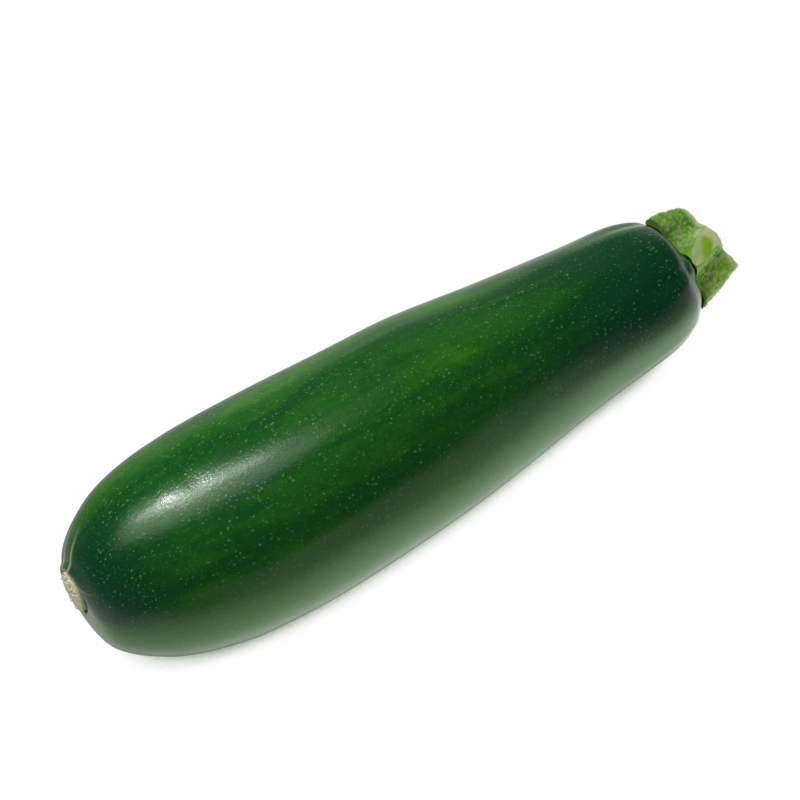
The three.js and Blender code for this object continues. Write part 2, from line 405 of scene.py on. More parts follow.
def make_grain_group():
    """Fine skin relief as a height: a soft pebbling with finer grain on it. Size is in millimetres."""
    group, given, result = new_group("Skin grain", [("Vector", None), ("Size", 1.0)], ["Height"])
    scale = maths(group, "DIVIDE", 1.0, given["Size"])
    group.links.new(noise(group, given["Vector"], scale, 3.0, 0.65), result["Height"])
    return group


speckles = make_speckle_group()
fibres = make_fibre_group()
grain = make_grain_group()


# ---- skin

DEEP_GREEN = (0.009, 0.105, 0.018, 1)
LEAF_GREEN = (0.021, 0.157, 0.014, 1)
YELLOW_GREEN = (0.049, 0.23, 0.011, 1)
BLUE_GREEN = (0.004, 0.072, 0.02, 1)
GROUND_SPOT_AND_BOUNCE_GREEN = (0.078, 0.335, 0.038, 1)
SPECKLE_GREEN = (0.14, 0.38, 0.12, 1)
DOT_STRENGTH = 0.72
SCAR_EDGE_BROWN = (0.07, 0.05, 0.012, 1)
SCAR_LINE_HIGHLIGHT = (0.48, 0.6, 0.38, 1)
SCAR_TIP_GREEN = (0.5, 0.6, 0.08, 1)
LIP_SHEEN_GREEN = (0.07, 0.28, 0.055, 1)
PAINTED_HOLLOW_SHADE = (0.006, 0.035, 0.004, 1)

LARGE_DOTS = {"Spacing": 1.05, "Radius": 0.235, "Softness": 0.6, "Share": 0.9}
SMALL_DOTS = {"Spacing": 0.64, "Radius": 0.15, "Softness": 0.7, "Share": 0.9}
SMALL_DOT_STRENGTH = 0.7
SKIN_GRAIN = 0.9
SKIN_GRAIN_DEPTH = 0.06
LIP_AND_RIM_ROUGHER = 0.4

# Paler bands run the length of the skin: their strength at angles in degrees from +Y towards +Z.
PALE_BANDS = [
    (0, 0.1), (16, 0.6), (28, 0.3), (48, 1.1), (62, 0.35), (69, 0.0), (76, 0.1), (83, 0.35),
    (92, 0.75), (104, 0.2), (111, 0.4), (117, 0.2), (124, 0.35), (132, 0.0), (145, 0.35),
    (160, 0.3), (175, 0.1), (192, 0.8), (205, 0.1), (228, 0.6), (243, 0.05), (262, 0.9), (275, 0.1),
    (297, 0.65), (312, 0.05), (334, 0.85), (348, 0.1),
]


def pale_bands(tree, place):
    """Strength of the paler bands, wandering a little and fading in and out along the fruit."""
    parts = put(tree, "SeparateXYZ", Vector=place).outputs
    wander = noise(tree, stretched(tree, place, 1 / 40, 1, 1), 1.0)
    turn = maths(tree, "ARCTAN2", parts[2], parts[1])
    turn = maths(tree, "DIVIDE", turn, FULL_TURN)
    turn = plus(tree, turn, times(tree, maths(tree, "SUBTRACT", wander, 0.5), 0.07))
    turn = maths(tree, "FRACT", turn)
    bands = put(tree, "ValToRGB", Fac=turn)
    stops = bands.color_ramp
    stops.interpolation = "EASE"
    while len(stops.elements) > 1:
        stops.elements.remove(stops.elements[-1])
    for place_on_ramp, (angle, strength) in enumerate(PALE_BANDS):
        stop = stops.elements.new(angle / 360) if place_on_ramp else stops.elements[0]
        stop.position = angle / 360
        stop.color = (strength, strength, strength, 1)
    patches = noise(tree, stretched(tree, place, 1 / 30, 1.4, 1.4), 1.0, 3.0)
    patches = ramp(tree, patches, 0.35, 0.65, 0.35, 1.1)
    return times(tree, bands.outputs[0], patches)


def skin_material():
    material, tree, shader = new_material("glossy_green_skin")
    place = attribute(tree, "skin_place", "Vector")
    own = millimetres(tree)
    along, aside, upwards = put(tree, "SeparateXYZ", Vector=place).outputs

    fine = use_group(tree, fibres, Place=place, Length=26.0, Fineness=8.0)["Streak"]
    mottle = noise(tree, own, 0.35, 4.0, 0.6)
    pale = pale_bands(tree, place)
    blotches = noise(tree, own, 0.9, 2.0)
    for variation, middle, amount in ((fine, 0.38, 1.0), (mottle, 0.5, 0.6), (blotches, 0.5, 0.5)):
        change = times(tree, maths(tree, "SUBTRACT", variation, middle), amount)
        pale = maths(tree, "ADD", pale, change, clamp=variation is blotches)
    stem_end = ramp(tree, along, 105, 150)
    flower_end = ramp(tree, along, 4, 28, 1.0, 0.0)
    at_ends = maths(tree, "MAXIMUM", stem_end, flower_end)
    top_side = ramp(tree, aside, 0.1, 0.65, 0.9, 0.45)
    pale = times(tree, pale, less_by(tree, times(tree, at_ends, top_side)))
    deep = mix(tree, at_ends, DEEP_GREEN, BLUE_GREEN)
    colour = mix(tree, ramp(tree, pale, 0.0, 0.5), deep, LEAF_GREEN)
    colour = mix(tree, ramp(tree, pale, 0.45, 1.0), colour, YELLOW_GREEN)
    # Paler green on the underside: partly the ground spot where it lay, partly painted light bounced up
    # from the floor.
    lain_on_and_bounce = ramp(tree, upwards, 0.2, 0.65, 0.9, 0.0)
    lain_on_and_bounce = times(tree, lain_on_and_bounce, less_by(tree, times(tree, at_ends, 0.1)))
    colour = mix(tree, lain_on_and_bounce, colour, GROUND_SPOT_AND_BOUNCE_GREEN)

    dot_space = stretched(tree, own, 0.75, 1, 1)
    large = use_group(tree, speckles, Vector=dot_space, **LARGE_DOTS)["Mask"]
    small = use_group(tree, speckles, Vector=dot_space, **SMALL_DOTS)["Mask"]
    crowding = ramp(tree, noise(tree, own, 0.12, 2.0), 0.35, 0.6, 0.5, 1.0)
    dots = maths(tree, "MAXIMUM", large, times(tree, small, SMALL_DOT_STRENGTH))
    dots = times(tree, dots, crowding)
    colour = mix(tree, times(tree, dots, DOT_STRENGTH), colour, SPECKLE_GREEN)

    rim = attribute(tree, "scar_edge")
    lip = attribute(tree, "lip")
    hollow = attribute(tree, "lip_painted_shade")
    # Paler green on the lip: partly its own colour, partly a painted sheen along its rolled edge.
    colour = mix(tree, times(tree, lip, 0.9), colour, LIP_SHEEN_GREEN)
    # Painted shade: the hollows inside the lip round the stem are darkened where the stem's rib feet would
    # shade them.
    colour = mix(tree, hollow, colour, PAINTED_HOLLOW_SHADE)
    # Partly painted highlight: pale lines from the scar, where light would catch low ridges.
    colour = mix(tree, attribute(tree, "scar_line_highlights"), colour, SCAR_LINE_HIGHLIGHT)
    colour = mix(tree, rim, colour, SCAR_EDGE_BROWN)
    scar_tip = times(tree, attribute(tree, "scar_tip"), 0.9)
    colour = mix(tree, scar_tip, colour, SCAR_TIP_GREEN)

    height = use_group(tree, grain, Vector=own, Size=SKIN_GRAIN)["Height"]
    height = plus(tree, height, times(tree, dots, 0.4))
    bump = put(tree, "Bump", Strength=1.0, Distance=SKIN_GRAIN_DEPTH * MM, Height=height)
    roughness = ramp(tree, noise(tree, own, 0.2, 3.0), 0.3, 0.7, 0.16, 0.24)
    for dull in (maths(tree, "MAXIMUM", rim, hollow), lip):
        roughness = plus(tree, roughness, times(tree, dull, LIP_AND_RIM_ROUGHER))
    feed(tree, shader, Base_Color=colour, Roughness=roughness, Normal=bump.outputs[0])
    feed(tree, shader, IOR=1.42, Coat_Weight=0.2, Coat_Roughness=0.15)
    return material


SKIN_SEGMENTS = 320
SKIN_STEPS = 7  # rings for each point of the outline
RIDGE_HEIGHT = 0.12
RIDGES_START = (70, 150)
DENT_HEIGHT = 0.02
DENT_WIDTH = 9
INNER_SHOULDER_RADIUS = 12  # inside it the shoulder stays smooth, under the stem
SCAR_EDGE_TO = 6  # how far along the fruit the scar's edge and tip are drawn
SCAR_LINES_TO = 15
SCAR_LINE_WIDTH = 0.42
SCAR_EDGE_WIDTH = 0.8
SCAR_TIP_ANGLE = 50
SCAR_TIP_SPREAD = 15
SCAR_TIP_REACH = 0.8
LIP_STARTS = (0.84, 0.88)  # shares of the outline
LIP_INSIDE = (9.5, 11.5)  # radii
LIP_HOLLOW_OUTSIDE = (12.3, 13.4)

# Where painted shade from the feet of the stem's ribs darkens the inside of the lip: middle and half width
# in degrees.
LIP_SHADED = [(40, 30), (185, 30)]

# Pale lines from the flower scar, partly paler skin and partly painted highlight for light caught on low
# ridges that aren't modelled: angle at the scar, its change per millimetre, reach and strength.
SCAR_LINES = [
    (63, -1.3, 19, 1.0),
    (38, -0.4, 20, 0.95),
    (110, 0.5, 13, 0.35),
    (165, -0.6, 12, 0.3),
    (215, 0.8, 14, 0.5),
    (262, 0.3, 17, 0.7),
    (318, -0.5, 15, 0.6),
]


def apart(first, second):
    """The angle between two angles, without its sign."""
    off = first - second
    return np.abs(np.arctan2(np.sin(off), np.cos(off)))


def scar_marks(x, radius, angle, rings):
    """How strongly each point shows the scar's brown edge, its pale lines of partly painted highlight, and
    its green tip.
    """
    middle_y, middle_z = rings[0, :, 1].mean(), rings[0, :, 2].mean()
    turn = np.arctan2(rings[..., 2] - middle_z, rings[..., 1] - middle_y)
    ragged = 0.35 * np.sin(3 * turn + 1) + 0.25 * np.sin(7 * turn) + 0.15 * np.sin(13 * turn)
    edge_from = FLOWER_HOLLOW_RADIUS + ragged * 0.5
    edge_to = FLOWER_HOLLOW_RADIUS + SCAR_EDGE_WIDTH + ragged
    near_flower = x < SCAR_EDGE_TO
    edge = (1 - smoothstep(radius, edge_from, edge_to)) * near_flower
    lines_reach = x < SCAR_LINES_TO
    lines = np.zeros(x.shape)
    for start, change, reach, strength in SCAR_LINES:
        off_line = radius * apart(np.radians(start + change * (radius - 8)), angle)
        fade = 1 - smoothstep(radius, 0.6 * reach, reach)
        line = strength * np.exp(-((off_line / SCAR_LINE_WIDTH) ** 2)) * fade
        lines = np.maximum(lines, line * smoothstep(radius, 5.5, 6.2) * lines_reach)
    between_lines = np.exp(-(((np.degrees(angle) - SCAR_TIP_ANGLE) / SCAR_TIP_SPREAD) ** 2))
    pale_between = 0.3 * between_lines * (1 - smoothstep(radius, 8, 17)) * lines_reach
    tip = between_lines * (1 - smoothstep(radius, 6.0, 7.6)) * near_flower
    return {"scar_edge": edge, "scar_line_highlights": np.maximum(lines, pale_between), "scar_tip": tip}


def lip_marks(share, x, radius, angle):
    """How strongly each point belongs to the lip round the stem, given a partly painted sheen, and to the
    hollows inside it, given painted shade.
    """
    lip = smoothstep(share, *LIP_STARTS) * smoothstep(radius, *LIP_INSIDE)
    shaded = 0.0
    for middle, half_width in LIP_SHADED:
        off_middle = apart(angle, math.radians(middle))
        half_width = math.radians(half_width)
        shaded = np.maximum(shaded, 1 - smoothstep(off_middle, 0.5 * half_width, half_width))
    hollow = shaded * (1 - smoothstep(radius, *LIP_HOLLOW_OUTSIDE)) * (x > SEAT_X - 10)
    return {"lip": lip, "lip_painted_shade": hollow}


def make_skin():
    spans = len(BODY_OUTLINE) + len(SHOULDER_BETWEEN_RIBS) - 1
    share = np.linspace(0, 1, spans * SKIN_STEPS + 1)[:, None]
    from_rib = np.linspace(0, FULL_TURN, SKIN_SEGMENTS, endpoint=False)[None, :]
    share, from_rib = np.broadcast_arrays(share, from_rib)
    angle = from_rib + RIB_ANGLE
    x, radius = outline_at(share, from_rib)
    centre = centre_at(x, radius)
    rings = ring_points(x, radius + unevenness(x, angle), angle, centre)

    # Faint lengthwise ridges run from the stem's ribs and between them, and the skin is a little uneven.
    on_shoulder = (share > len(BODY_OUTLINE) / spans) & (radius < INNER_SHOULDER_RADIUS)
    ridges = RIDGE_HEIGHT * np.cos(2 * RIBS * from_rib) * smoothstep(x, *RIDGES_START) * ~on_shoulder
    dents = ripple(rings * (0.6, 1, 1), DENT_WIDTH, seed=3)
    dents = DENT_HEIGHT * dents * smoothstep(x, 0, 8) * ~on_shoulder
    rings = ring_points(x, radius + unevenness(x, angle) + ridges + dents, angle, centre)
    rings[..., 2] = np.maximum(rings[..., 2], 0)

    low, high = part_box("fruit")
    middle = (rings.reshape(-1, 3).min(0) + rings.reshape(-1, 3).max(0)) / 2
    frame_shift[:2] = np.array(low + high)[:2] / 2 / MM - middle[:2]

    first = (FLOWER_HOLLOW_FLOOR, *np.array(centre_at(FLOWER_HOLLOW_FLOOR, 0.0)))
    last = (SEAT_X, *np.array(centre_at(SEAT_X, 0.0)))
    place = np.stack([x, np.cos(angle), np.sin(angle)], axis=-1)
    attributes = {"skin_place": place}
    attributes.update(scar_marks(x, radius, angle, rings))
    attributes.update(lip_marks(share, x, radius, angle))
    skin = skin_over("courgette_skin", first, rings, last, attributes)
    skin.data.materials.append(skin_material())
    return skin


# ---- stem

STEM_HEIGHT = 14.2
RIB_RADIUS = [(0, 14.1), (2, 13.9), (5, 13.2), (8, 12.2), (12, 10.8), (STEM_HEIGHT, 10.1)]
FURROW_RADIUS = [(0, 9.2), (5, 8.6), (10, 7.8), (STEM_HEIGHT, 7.2)]
STEM_TWIST = math.radians(-11)
STEM_LEAN = 1.6
STEM_CUT_SLANT = math.radians(12)
STEM_CUT_DIP = 0.8
FOOT_GAP = 0.3
FOOT_GAP_WIDEST = 1.2
RIB_FOOT_LESS = [1.7, 1.7, 1, 0.5, 0]
SHAVED_AT_SEAT = 12.3
SHAVED_AT_CUT = 7.4

STEM_SEGMENTS = 360
STEM_SIDE_RINGS = 96
STEM_UNDERSIDE_RINGS = 10
STEM_CUT_RINGS = 26
CUT_EDGE_BEVEL = 0.35
CUT_RADIUS = 8  # roughly, for the width of the bevel
CUT_DIP_DEPTH = 0.5
CUT_UNEVENNESS = 0.12
BRISTLES = 700
WART_WIDTHS = (0.25, 0.55)
WART_HEIGHT = 0.22
GRAININESS = [(0.07, 1.3, 5), (0.12, 2.6, 6)]  # height, wavelength and seed of the ripples in the surface

STEM_UPPER_SHADE = (0.03, 0.15, 0.002, 1)
STEM_GREEN = (0.1, 0.4, 0.003, 1)
STEM_BRIGHT = (0.34, 0.8, 0.015, 1)
STEM_PALE = (0.6, 0.95, 0.18, 1)
WART_PALE = (0.72, 0.92, 0.34, 1)
FOOT_PAINTED_SHADE = (0.01, 0.045, 0.002, 1)
SHAVED_YELLOW = (0.46, 0.76, 0.03, 1)
SHAVED_GREEN = (0.31, 0.62, 0.022, 1)
CUT_PALE = (0.55, 0.62, 0.3, 1)
CUT_GREEN = (0.36, 0.48, 0.16, 1)
RIM_PALE_AND_HIGHLIGHT = (0.95, 1.0, 0.6, 1)

# The shaved flat has a yellow-green core with a pale band round it, partly the rind's own paler colour and
# partly painted highlight.
# Sides are in degrees from the first rib, and heights are shares of the stem's.
CORE_SIDE = 3
CORE_SIDE_HEIGHT = 0.4
CORE_SIDE_SLANT = 53
CORE_SIDE_BLUR = 8
CORE_TOP = 0.86
CORE_TOP_MIDDLE = 2
CORE_TOP_SLANT = 0.012
CORE_TOP_BLUR = (0.12, 0.06)
CORE_DEPTHS = (0.12, 0.32)
BESIDE_FLAT = (-30, -15)
BESIDE_FLAT_HEIGHTS = (0.3, 0.7)
# Where the painted shade at the stem's foot is deepest: the upper rib's angle and spread, in degrees from
# the first rib.
UPPER_RIB_ANGLE = -80
UPPER_RIB_SPREAD = 35


def shoulder_x(radius, from_rib):
    """How far along the fruit its skin lies at a radius on the shoulder."""
    share, turn = np.broadcast_arrays(np.linspace(1, 0.7, 160)[None, :], from_rib[:, None])
    xs, radii = outline_at(share, turn)
    return np.array([np.interp(radius[i], radii[i], xs[i]) for i in range(len(from_rib))])


def stem_radius(height, from_rib):
    """Radius of the stem, and how deep the knife has shaved it there."""
    less = 0
    for i, rib_less in enumerate(RIB_FOOT_LESS):
        less = less + rib_less * np.maximum(np.cos(from_rib - i / RIBS * FULL_TURN), 0) ** 4
    rib = value_at(RIB_RADIUS, height) - less * (1 - height / STEM_HEIGHT)
    furrow = value_at(FURROW_RADIUS, height)
    radius = furrow + (rib - furrow) * rib_closeness(from_rib) ** 1.3
    shaved = SHAVED_AT_SEAT + (SHAVED_AT_CUT - SHAVED_AT_SEAT) * height / STEM_HEIGHT
    facing = np.cos(from_rib)
    cut = np.where(facing > 0.5, np.minimum(radius, shaved / np.maximum(facing, 0.5)), radius)
    return cut, radius - cut


def stem_centre(height):
    y, z = centre_at(SEAT_X, 0.0)
    lean = STEM_LEAN * np.sin(height / STEM_HEIGHT * math.pi / 2)
    return y + lean * math.cos(OFFSET_ANGLE), z + lean * math.sin(OFFSET_ANGLE)


def on_cut(points, from_rib):
    """Moves points along the stem onto its slanted cut, which has dried back in the furrows."""
    y, z = stem_centre(STEM_HEIGHT)
    along = (points[..., 1] - y) * math.cos(OFFSET_ANGLE)
    along = along + (points[..., 2] - z) * math.sin(OFFSET_ANGLE)
    dip = STEM_CUT_DIP * (1 - rib_closeness(from_rib))
    moved = points.copy()
    moved[..., 0] = SEAT_X + STEM_HEIGHT - along * math.tan(STEM_CUT_SLANT) - dip
    return moved


def stem_surface(share, from_rib, foot_x):
    """Points on the stem's side at shares of its height, and how shaved they are."""
    height = share * STEM_HEIGHT
    radius, shaved = stem_radius(height, from_rib)
    angle = from_rib + RIB_ANGLE + STEM_TWIST * share
    points = ring_points(SEAT_X, radius, angle, stem_centre(height))
    top_radius = stem_radius(STEM_HEIGHT, from_rib)[0]
    top = ring_points(SEAT_X, top_radius, from_rib + RIB_ANGLE + STEM_TWIST, stem_centre(STEM_HEIGHT))
    top = on_cut(top, from_rib)
    points[..., 0] = foot_x + (top[..., 0] - CUT_EDGE_BEVEL - foot_x) * share
    return points, shaved


def stem_material():
    material, tree, shader = new_material("bristly_green_stem")
    own = millimetres(tree)
    place = attribute(tree, "stem_place", "Vector")
    rib = attribute(tree, "rib")
    wart = attribute(tree, "wart")
    flesh = attribute(tree, "cut_flesh")
    rim = attribute(tree, "cut_rim_and_highlight")

    streak = use_group(tree, fibres, Place=place, Length=7.0, Fineness=8.0)["Streak"]
    mottle = noise(tree, own, 0.9, 4.0, 0.65)
    green = mix(tree, ramp(tree, mottle, 0.35, 0.65), STEM_GREEN, STEM_BRIGHT)
    green = mix(tree, ramp(tree, streak, 0.45, 0.7, 0.0, 0.6), green, STEM_PALE)
    green = mix(tree, times(tree, rib, 0.45), green, STEM_PALE)
    dots = use_group(tree, speckles, Vector=own, Spacing=1.3, Radius=0.4, Softness=0.6, Share=0.7)
    dots = maths(tree, "MAXIMUM", times(tree, dots["Mask"], 0.5), wart)
    green = mix(tree, dots, green, WART_PALE)
    # Painted shade: the stem's upper side is darkened and its lower side left brighter, for how the light
    # falls on it.
    upwards = put(tree, "SeparateXYZ", Vector=place).outputs[2]
    upper_side_shade = ramp(tree, upwards, -0.4, 0.5, 0.55, 0.0)
    green = mix(tree, upper_side_shade, green, STEM_UPPER_SHADE)
    # Painted shade: the stem is darkened near its seat and all over its underside.
    foot = times(tree, attribute(tree, "foot"), 0.88)
    green = mix(tree, foot, green, FOOT_PAINTED_SHADE)

    cut = mix(tree, ramp(tree, streak, 0.4, 0.65), SHAVED_YELLOW, SHAVED_GREEN)
    colour = mix(tree, flesh, green, cut)
    pith = attribute(tree, "pith")
    face = mix(tree, ramp(tree, mottle, 0.35, 0.65), CUT_PALE, CUT_GREEN)
    colour = mix(tree, pith, colour, face)
    # Partly painted highlight: the pale band round the flat's core, the flank beside it and the cap under
    # the cut.
    colour = mix(tree, times(tree, rim, 0.8), colour, RIM_PALE_AND_HIGHLIGHT)

    height = use_group(tree, grain, Vector=own, Size=0.5)["Height"]
    height = times(tree, height, less_by(tree, times(tree, flesh, 0.85)))
    bump = put(tree, "Bump", Strength=0.6, Distance=0.15 * MM, Height=height)
    roughness = maths(tree, "SUBTRACT", 0.6, times(tree, flesh, 0.25))
    feed(tree, shader, Base_Color=colour, Roughness=roughness, Normal=bump.outputs[0], IOR=1.4)
    feed(tree, shader, Subsurface_Weight=0.3, Subsurface_Scale=1.2 * MM)
    feed(tree, shader, Subsurface_Radius=(0.8, 1.0, 0.3))
    return material


def stem_underside(from_rib):
    """Rings from the seat out to the ribs' feet, lifted clear of the shoulder."""
    rim_radius = stem_radius(0.0, from_rib)[0]
    highest_lip = (0.5 + 0.5 * np.cos(from_rib - HIGH_LIP_ANGLE)) ** 2
    gap = FOOT_GAP + (FOOT_GAP_WIDEST - FOOT_GAP) * highest_lip
    rings = []
    for outwards in np.linspace(0, 1, STEM_UNDERSIDE_RINGS + 1):
        radius = SEAT_RADIUS - FOOT_GAP + (rim_radius - SEAT_RADIUS + FOOT_GAP) * outwards
        x = SEAT_X if outwards == 0 else shoulder_x(radius, from_rib) + gap
        rings.append(ring_points(x, radius, from_rib + RIB_ANGLE, centre_at(SEAT_X, radius)))
    return np.array(rings)


def pale_rim_and_highlight(share, turned, shaved, flesh):
    """How pale the stem is round the core of its shaved flat, beside the flat and under the cut: partly the
    rind's own paler colour, partly a painted highlight on the cap under the cut and on the flank beside the
    flat.
    """
    side = CORE_SIDE - CORE_SIDE_SLANT * (share - CORE_SIDE_HEIGHT)
    top = CORE_TOP - CORE_TOP_SLANT * np.abs(turned - CORE_TOP_MIDDLE)
    below, above = CORE_TOP_BLUR
    core = smoothstep(turned, side - CORE_SIDE_BLUR, side + CORE_SIDE_BLUR)
    core *= 1 - smoothstep(share, top - below, top + above)
    core *= np.where(turned > 0, smoothstep(shaved, *CORE_DEPTHS), 1)
    beside = smoothstep(turned, *BESIDE_FLAT) * (turned < 0) * smoothstep(share, *BESIDE_FLAT_HEIGHTS)
    paling = 0.7 + 0.3 * smoothstep(share, 0.5, 0.85)
    rim = np.maximum(flesh * (1 - core) * paling, 0.8 * smoothstep(share, 0.86, 0.98))
    return np.maximum(rim, 0.6 * beside * (1 - core))


def painted_foot_shade(share, turned, round_stem):
    """How strongly painted shade darkens the stem near its seat, where its ribs' feet meet the fruit:
    deepest under the upper rib, and not at the first rib.
    """
    beside_first_rib = np.clip((1 - np.cos(round_stem)) / 0.7, 0, 1)
    under_upper_rib = np.exp(-(((turned - UPPER_RIB_ANGLE) / UPPER_RIB_SPREAD) ** 2))
    start = 0.02 + 0.04 * beside_first_rib + 0.05 * under_upper_rib
    foot = 1 - smoothstep(share, start, 0.13 + 0.05 * under_upper_rib)
    return foot * beside_first_rib


def bristle_roots(draw):
    """Each bristle's share of the stem's height and angle from the first rib. None is on the flat."""
    roots = []
    while len(roots) < BRISTLES:
        up, turn = draw.uniform(0.03, 0.97), draw.uniform(0, FULL_TURN)
        if stem_radius(up * STEM_HEIGHT, turn)[1] < 0.02:
            roots.append((up, turn))
    return np.array(roots)


def with_relief(side, share, flesh, wart):
    """The stem's side with grain and warts, away from its ends and the shaved flat."""
    relief = sum(height * ripple(side, length, seed=seed) for height, length, seed in GRAININESS)
    ends = smoothstep(share, 0, 0.06) * (1 - smoothstep(share, 0.97, 1))
    centre_y, centre_z = stem_centre(share * STEM_HEIGHT)
    outward = side.copy()
    outward[..., 0] = 0
    outward[..., 1] -= centre_y
    outward[..., 2] -= centre_z
    outward /= np.linalg.norm(outward, axis=-1, keepdims=True)
    relief = (relief + WART_HEIGHT * wart) * ends * (1 - flesh)
    return side + outward * relief[..., None]


def cut_face(from_rib):
    """The cut end: a bevelled edge, then rings inwards that sink towards the middle."""
    top_radius = stem_radius(STEM_HEIGHT, from_rib)[0]
    angle = from_rib + RIB_ANGLE + STEM_TWIST
    face = []
    for inwards in np.linspace(0, 1, STEM_CUT_RINGS + 1)[:-1]:
        scale = (1 - CUT_EDGE_BEVEL / CUT_RADIUS) * (1 - inwards)
        ring = on_cut(ring_points(SEAT_X, top_radius * scale, angle, stem_centre(STEM_HEIGHT)), from_rib)
        ring[:, 0] += STEM_CUT_DIP * (1 - rib_closeness(from_rib)) * inwards
        sunk = CUT_DIP_DEPTH * smoothstep(inwards, 0.45, 0.9)
        ring[:, 0] += CUT_UNEVENNESS * ripple(ring, 1.6, seed=8) - sunk
        face.append(ring)
    return np.array(face)


def make_stem():
    """The stem, and where its bristles stand: in the frame, and on the stem itself."""
    from_rib = np.linspace(0, FULL_TURN, STEM_SEGMENTS, endpoint=False)
    underside = stem_underside(from_rib)
    foot_x = underside[-1][:, 0]

    share = np.linspace(0, 1, STEM_SIDE_RINGS + 1)[1:, None]
    share, round_stem = np.broadcast_arrays(share, from_rib[None, :])
    side, shaved = stem_surface(share, round_stem, foot_x[None, :])
    flesh = smoothstep(shaved, 0.02, 0.3)
    turned = np.degrees(np.arctan2(np.sin(round_stem), np.cos(round_stem)))
    rim = pale_rim_and_highlight(share, turned, shaved, flesh)
    foot = painted_foot_shade(share, turned, round_stem)

    draw = np.random.default_rng(11)
    roots = bristle_roots(draw)
    root_foot = np.interp(roots[:, 1], from_rib, foot_x, period=FULL_TURN)
    root_points, _ = stem_surface(roots[:, 0], roots[:, 1], root_foot)
    wart = np.zeros(side.shape[:2])
    for point, width in zip(root_points, draw.uniform(*WART_WIDTHS, len(roots))):
        away = np.square(side - point).sum(-1)
        wart = np.maximum(wart, np.exp(-away / width**2))
    side = with_relief(side, share, flesh, wart)
    face = cut_face(from_rib)
    rings = np.concatenate([underside, side, face])

    def over_all(below, beside, above):
        """One value for each point, from those of the underside, the side and the cut."""
        parts = [np.full(underside.shape[:2], below, float), beside, np.full(face.shape[:2], above, float)]
        return np.concatenate(parts)

    height_share = over_all(0, share, 1)
    angle = np.broadcast_to(from_rib, height_share.shape)
    cut_rim_and_highlight = over_all(0, rim, 0)
    first_face_ring = len(underside) + len(side)
    # The cut's bevelled edge gets the full pale band, partly painted highlight.
    cut_rim_and_highlight[first_face_ring:first_face_ring + 2] = 1
    attributes = {
        "stem_place": np.stack([height_share * STEM_HEIGHT, np.cos(angle), np.sin(angle)], axis=-1),
        "rib": rib_closeness(angle) ** 2,
        "wart": over_all(0, wart * (1 - flesh), 0),
        "cut_flesh": over_all(0, flesh, 1),
        # painted shade at the stem's feet, full on its underside
        "foot": over_all(1, foot, 0),
        "cut_rim_and_highlight": cut_rim_and_highlight,
        "pith": over_all(0, np.zeros(side.shape[:2]), 1),
    }
    first = (SEAT_X, *centre_at(SEAT_X, 0.0))
    stem = skin_over("ribbed_stem", first, rings, face[-1].mean(0), attributes)
    stem.data.materials.append(stem_material())
    return stem, place_in_frame(root_points), roots


BRISTLE_GREEN = (0.5, 0.62, 0.3, 1)
BRISTLE_PALE = (0.75, 0.8, 0.6, 1)
BRISTLE_LENGTHS = (0.5, 1.2)
BRISTLE_RADIUS = 0.07
BRISTLE_ROOT = 0.25  # how far a bristle is sunk into the stem


def bristle_material():
    material, tree, shader = new_material("pale_bristle")
    tint = noise(tree, millimetres(tree), 0.8)
    colour = mix(tree, tint, BRISTLE_GREEN, BRISTLE_PALE)
    feed(tree, shader, Base_Color=colour, Roughness=0.5)
    return material


def make_bristles(root_points, roots):
    """Short stiff hairs, each a thin three-sided spike that leans towards the cut."""
    draw = random.Random(4)
    vertices, faces = [], []
    for point, (up, turn) in zip(root_points, roots):
        angle = turn + RIB_ANGLE + STEM_TWIST * up + draw.uniform(-0.35, 0.35)
        way = Vector((draw.uniform(0.0, 0.6), math.cos(angle), math.sin(angle))).normalized()
        side = way.orthogonal().normalized()
        other = way.cross(side)
        length = draw.uniform(*BRISTLE_LENGTHS) * MM
        root = Vector(point) - way * BRISTLE_ROOT * MM
        base = len(vertices)
        for k in range(3):
            corner = FULL_TURN * k / 3
            outwards = side * math.cos(corner) + other * math.sin(corner)
            vertices.append(root + outwards * BRISTLE_RADIUS * MM)
        vertices.append(root + way * (length + BRISTLE_ROOT * MM))
        faces.append((base + 2, base + 1, base))
        for k in range(3):
            faces.append((base + k, base + (k + 1) % 3, base + 3))
    mesh = bpy.data.meshes.new("stem_bristles")
    mesh.from_pydata([tuple(v) for v in vertices], [], faces)
    mesh.update()
    bristles = link("stem_bristles", mesh)
    bristles.data.materials.append(bristle_material())
    return bristles


# ---- flower scar

SCAR_RADIUS = 4.85
SCAR_EDGE_X = -0.4
SCAR_DOME = 0.7
SCAR_DIMPLE = 0.35
SCAR_DIMPLE_SHARE = 0.4
SCAR_CREASES = 0.16
SCAR_UNEVENNESS = 0.1
SCAR_SEGMENTS = 180
SCAR_RINGS = 40
SCAR_WALL = [(0.3, 0.1), (0.6, 0.9), (FLOWER_HOLLOW_FLOOR, 1.0)]  # how far along the fruit, and how brown

CORK_CREAM = (1.0, 0.98, 0.72, 1)
CORK_TAN = (0.93, 0.85, 0.56, 1)
CORK_BROWN = (0.13, 0.075, 0.025, 1)


def cork_material():
    material, tree, shader = new_material("dry_cork")
    own = millimetres(tree)
    mottle = noise(tree, own, 0.8, 5.0, 0.65)
    colour = mix(tree, ramp(tree, mottle, 0.4, 0.7), CORK_CREAM, CORK_TAN)
    edge = attribute(tree, "cork_edge")
    ragged = times(tree, edge, ramp(tree, noise(tree, own, 1.4, 3.0), 0.3, 0.6, 0.3, 1.0))
    colour = mix(tree, ragged, colour, CORK_BROWN)
    height = use_group(tree, grain, Vector=own, Size=0.45)["Height"]
    bump = put(tree, "Bump", Strength=0.8, Distance=0.2 * MM, Height=height)
    feed(tree, shader, Base_Color=colour, Roughness=0.85, Normal=bump.outputs[0], IOR=1.35)
    return material


